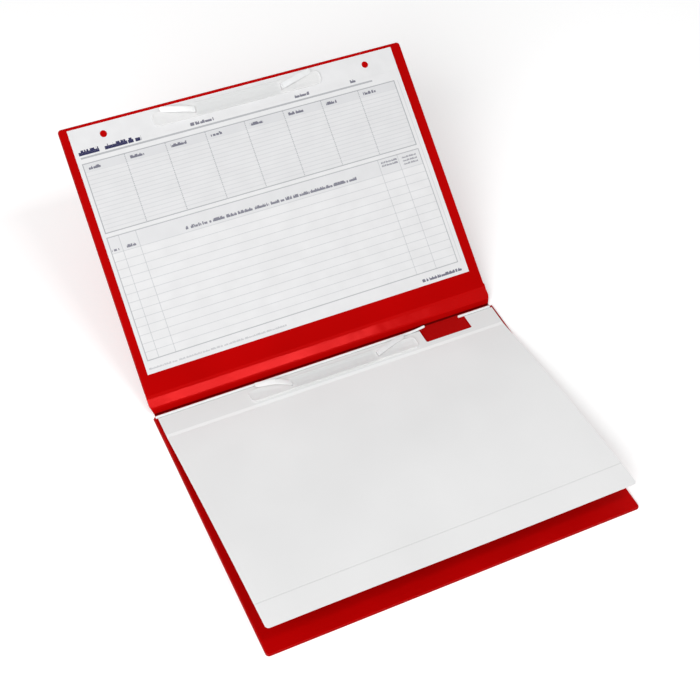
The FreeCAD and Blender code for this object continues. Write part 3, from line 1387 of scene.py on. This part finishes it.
@dataclass
class Fastener:
    """Prong fastener: a pressure bar over the punched edge and two tongues folded flat and splayed."""

    half: Half
    level: float
    spread: float = 37.0 * MM
    width: float = 12.0 * MM
    bar: float = 1.0 * MM
    rail: float = 0.3 * MM
    rail_width: float = 1.0 * MM
    rail_slope: float = 0.5 * MM
    rail_round: float = 0.3 * MM
    ledge: float = 1.2 * MM
    trough: float = 0.25 * MM
    trough_slope: float = 0.6 * MM
    end_round: float = 4.0 * MM
    prong_slot: tuple[float, float] = (1.4 * MM, 5.6 * MM)
    tongue: float = 0.5 * MM
    tongue_width: float = 5.0 * MM
    tip_round: float = 2.3 * MM
    root: float = 0.5 * MM
    length: float = 30.0 * MM
    splay: float = 9.0 * MM
    rise: tuple[float, float] = (2.8 * MM, 0.8 * MM)
    crown: float = 0.12 * MM
    crown_line: float = 1.2 * MM
    bends: int = 14
    prongs: list[float] = field(init=False)
    line: float = field(init=False)
    axis: float = field(init=False)

    def __post_init__(self) -> None:
        """Takes the prongs' places from the frame."""
        self.prongs, self.line, self.axis = self.half.prongs()

    def build(self) -> None:
        """Makes the bar and both tongues."""
        side = self.half.side.value
        put(self.pressure_bar(f"{side}_bar"), self.half.body, "fastener_plastic", f"{side}_pressure_bar")
        for place, name, way in zip(self.prongs, ("left", "right"), (-1, 1)):
            strap = self.strap(f"{side}_{name}_strap", place, way)
            put(strap, f"{side}_{name}_prong", "fastener_plastic", f"{side}_{name}_tongue")

    def pressure_bar(self, name: str) -> Object:
        """Bar with round ends, soft rails, a shallow trough and a slot for each prong.

        Args:
            name: Name of the piece.

        Returns:
            The finished piece.
        """
        left, right = self.prongs[0] - self.spread, self.prongs[1] + self.spread
        near, far = self.line - self.width / 2, self.line + self.width / 2
        top = self.level + self.bar + self.rail
        piece = Piece.block(name, *self.half.span(left, right, near, far, self.level, top))
        piece.pick(Pick.EDGES, upright).bevel(self.end_round, 8)
        piece.pick(Pick.FACES, lambda f: f.normal.z > 0.9)
        piece.inset((self.rail_width, 0), (self.rail_slope, -self.rail))
        piece.inset((self.ledge, 0), (self.trough_slope, -self.trough))
        piece.pick(Pick.EDGES, lambda e: min(v.co.z for v in e.verts) > top - TINY)
        piece.bevel(self.rail_round, 4)
        thin, wide = (size / 2 for size in self.prong_slot)
        near, far = self.line - wide, self.line + wide
        slots = [self.half.span(x - thin, x + thin, near, far, 0, CUTTER) for x in self.prongs]
        piece.merge("DIFFERENCE", *[Piece.block("slot", *box) for box in slots])
        return piece.close(BAR_PLASTIC, self.half)

    def strap(self, name: str, x: float, way: int) -> Object:
        """Tongue: a strap with a round tip that arches off the bar and splays towards the bound edge.

        Args:
            name: Name of the piece.
            x: Place of its prong.
            way: Direction along the fold.

        Returns:
            The finished piece.
        """
        top = self.axis + self.tongue / 2
        root = x + way * self.root
        tip = x + way * math.sqrt(self.length**2 - self.splay**2)
        left, right = sorted((root, tip))
        y = self.half.y(self.line)
        side = self.tongue_width / 2
        piece = Piece.sheet(name, Vector((left, y - side, top)), Vector((right, y + side, top)))
        piece.pick(Pick.CORNERS, lambda v: abs(v.co.x - tip) < TINY).bevel(self.tip_round, 7, corners=True)
        piece.slice(steps(root, tip, self.bends), [y - self.crown_line, y, y + self.crown_line])
        piece.shape(lambda p: self.arch(p, (p.x - root) / (tip - root), y, self.rise[way > 0]))
        piece.thicken(self.tongue)
        # Painted light: the left tongues get the brighter copy, the right tongues the darker one.
        return piece.close(LIT_STRAP_PLASTIC if way < 0 else SHADED_STRAP_PLASTIC, self.half)

    def arch(self, place: Vector, along: float, y: float, rise: float) -> Vector:
        """Where a flat place of a strap comes to rest.

        Args:
            place: Flat place.
            along: Distance from the root, as a share of the strap.
            y: Flat y of the prongs.
            rise: Height of the arch.

        Returns:
            The place splayed, arched along the strap and crowned across it.
        """
        share = min(max(along, 0.0), 1.0)
        crown = self.crown * (1 - ((place.y - y) / (self.tongue_width / 2)) ** 2)
        lift = rise * max(math.sin(math.pi * share**0.8), 0.0) ** 1.3
        return place + Vector((0, self.splay * share, lift + crown))


@dataclass
class FilingStrip:
    """White strip under the sheet's bound edge, with a round bead along the fold and two prong roots."""

    half: Half
    near: float = 4.75 * MM
    flange: float = 0.3 * MM
    thickness: float = 1.0 * MM
    corner: float = 1.5 * MM
    cut: tuple[float, float, float] = (82.5 * MM, 127.5 * MM, 20.5 * MM)
    reach: float = 6.0 * MM
    bead: float = 1.1 * MM
    bead_round: float = 0.6 * MM
    overhang: float = 2.5 * MM
    groove: float = 2.2 * MM
    curl: float = 2.4 * MM
    curl_length: float = 20.0 * MM
    curl_step: float = 3.0 * MM
    prong: tuple[float, float] = (0.8 * MM, 5.0 * MM)
    knuckle: float = 0.3 * MM
    left: float = field(init=False)
    right: float = field(init=False)
    far: float = field(init=False)
    level: float = field(init=False)
    prongs: list[float] = field(init=False)
    line: float = field(init=False)
    axis: float = field(init=False)

    def __post_init__(self) -> None:
        """Takes the strip's ends and the prongs' places from the frame."""
        low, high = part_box("filing_strip")
        self.left, self.right, self.level = low.x, high.x, low.z
        self.far = self.half.reach("filing_strip")[1]
        self.prongs, self.line, self.axis = self.half.prongs()

    def build(self) -> None:
        """Makes the strip as one moulding."""
        top = self.level + self.thickness
        left, near = self.left + self.overhang, self.near + self.flange
        box = self.half.span(left, self.right, near, self.far, self.level, top)
        piece = Piece.block("filing_strip_moulding", *box)
        piece.pick(Pick.EDGES, upright).bevel(self.corner, 5)
        start, end, depth = self.cut
        piece.merge("DIFFERENCE", Piece.block("cut_out", *self.half.span(start, end, 0, depth, 0, CUTTER)))
        rods = [self.rod(self.left, start + self.reach), self.rod(end - self.reach, self.right)]
        piece.merge("UNION", *rods, *self.roots())
        piece.paint(STRIP_PLASTIC)
        # Painted shade: the plate's top faces between the bead and this line get a grey finish.
        groove = self.half.y(self.near + self.groove)
        piece.slice(ys=[groove])
        floor = top + TINY
        piece.paint(
            GROOVE_SHADE_PLASTIC, lambda f: f.normal.z > 0.9 and middle(f).y > groove and middle(f).z < floor
        )
        put(piece.close(STRIP_PLASTIC, self.half), self.half.body, "strip_plastic", "filing_strip")

    def roots(self) -> list[Piece]:
        """Short uprights that the tongues turn on.

        Returns:
            One root for each prong.
        """
        thin, wide = (size / 2 for size in self.prong)
        near, far, top = self.line - wide, self.line + wide, self.axis + self.knuckle
        boxes = [self.half.span(x - thin, x + thin, near, far, self.level, top) for x in self.prongs]
        return [Piece.block("root", *box) for box in boxes]

    def rod(self, left: float, right: float) -> Piece:
        """Length of the bead along the fold, with round ends.

        Args:
            left: Where it starts.
            right: Where it ends.

        Returns:
            The bead, with its end at the cut-out lifted.
        """
        centre = self.half.at((left + right) / 2, self.near, self.level + self.bead)
        rod = Piece.cylinder("bead", centre, (self.bead, right - left), 20, lying=True)
        rod.pick(Pick.EDGES, lambda e: abs(e.verts[0].co.x - e.verts[1].co.x) < TINY)
        rod.bevel(self.bead_round, 4)
        rod.slice([self.cut[0] + self.reach - self.curl_step * i for i in range(1, 8)])
        return rod.shape(self.curl_up)

    def curl_up(self, place: Vector) -> Vector:
        """Lifts the bead's free end in the left of the cut-out.

        Args:
            place: Place of the straight bead.

        Returns:
            The place, lifted near that end.
        """
        end = self.cut[0] + self.reach
        if place.x > end + TINY:
            return place
        share = max(0.0, (place.x - end) / self.curl_length + 1)
        return place + Vector((0, 0, self.curl * share**2))


@dataclass
class Studio:
    """Pale floor, soft studio light and the camera of the photograph."""

    place: tuple[float, float, float] = (-0.34503, -0.52501, 0.86570)
    right: tuple[float, float, float] = (0.90967, -0.41434, 0.02864)
    up: tuple[float, float, float] = (0.2917, 0.68645, 0.6661)
    lens: float = 69.18
    shift: tuple[float, float] = (0.0714, -0.05)
    room: float = 0.43

    def build(self) -> None:
        """Sets up the floor, the light and the camera."""
        self.floor()
        self.lamp("overhead_strip", (0.27, -0.29, 1.25), (0.27, 0.12, 0.0), (0.46, 0.2), 3.1)
        self.lamp("front_left_key", (-1.35, -1.05, 1.25), (0.0, 0.1, 0.0), (1.4, 1.4), 30.0)
        self.world()
        self.camera()
        bpy.context.scene.view_settings.view_transform = "Standard"

    def floor(self) -> None:
        """Large sheet of studio paper under the folder."""
        Piece.begin()
        bpy.ops.mesh.primitive_plane_add(size=8)
        floor = bpy.context.object
        floor.name = "studio_floor"
        floor.data.materials.append(BACKDROP.material())

    def lamp(
        self, name: str, place: Sequence[float], aim: Sequence[float], size: tuple[float, float], power: float
    ) -> None:
        """Adds a soft rectangular lamp.

        Args:
            name: Name of the lamp.
            place: Where it hangs.
            aim: What it points at.
            size: Width and height.
            power: Watts.
        """
        Piece.begin()
        bpy.ops.object.light_add(type="AREA", location=place)
        lamp = bpy.context.object
        lamp.name = name
        lamp.data.shape = "RECTANGLE"
        lamp.data.size, lamp.data.size_y = size
        lamp.data.energy = power
        lamp.rotation_euler = (Vector(aim) - Vector(place)).to_track_quat("-Z", "Y").to_euler()

    def world(self) -> None:
        """Fills the room with soft white light and shows it as plain white."""
        world = bpy.data.worlds.new("studio_room")
        bpy.context.scene.world = world
        world.use_nodes = True
        tree = world.node_tree
        tree.nodes.clear()
        room = add_node(tree, "Background", {"Color": WHITE, "Strength": self.room})
        white = add_node(tree, "Background", {"Color": WHITE, "Strength": 1.0})
        mix = add_node(tree, "MixShader", {0: plain_view(tree), 1: room.outputs[0], 2: white.outputs[0]})
        add_node(tree, "OutputWorld", {"Surface": mix.outputs[0]})

    def camera(self) -> None:
        """Puts the camera where the photograph was taken from."""
        bpy.ops.object.camera_add(location=self.place)
        camera = bpy.context.object
        right, up = Vector(self.right).normalized(), Vector(self.up).normalized()
        camera.rotation_euler = Matrix((right, up, right.cross(up))).transposed().to_euler()
        camera.data.sensor_width = 36.0
        camera.data.lens = self.lens
        camera.data.shift_x, camera.data.shift_y = self.shift
        camera.data.dof.use_dof = False
        bpy.context.scene.camera = camera


def main() -> None:
    """Builds the folder piece by piece and sets the studio round it."""
    logging.basicConfig(level=logging.INFO, format="%(message)s")
    back, front = Half(Side.BACK), Half(Side.FRONT)
    low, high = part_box("back_outer_film")
    width, depth = high.x - low.x, back.fold_y - low.y
    hinge = Hinge(back, front, width)
    Cover(back, width, depth, hinge.back_reach, fold_shade=26 * MM).build()
    lid = Cover(front, width, depth, hinge.lid_reach)
    lid.build()
    hinge.build()
    prongs, line, _ = front.prongs()
    pitch = prongs[1] - prongs[0]
    holes = (prongs[0] - pitch, *prongs, prongs[1] + pitch)
    form = Form(front, "form", "form", "form_paper", holes, line, level=lid.inside)
    form.build()
    prongs, line, _ = back.prongs()
    sheet = Sheet(back, "sheet", "plastic_sheet", "frosted_sheet", prongs, line)
    sheet.build()
    FilingStrip(back).build()
    Fastener(back, sheet.top).build()
    Fastener(front, form.top, splay=7.0 * MM, rise=(1.8 * MM, 0.8 * MM)).build()
    dress("front_fastener_base", STRIP_PLASTIC)
    Studio().build()


if __name__ == "__main__":
    main()
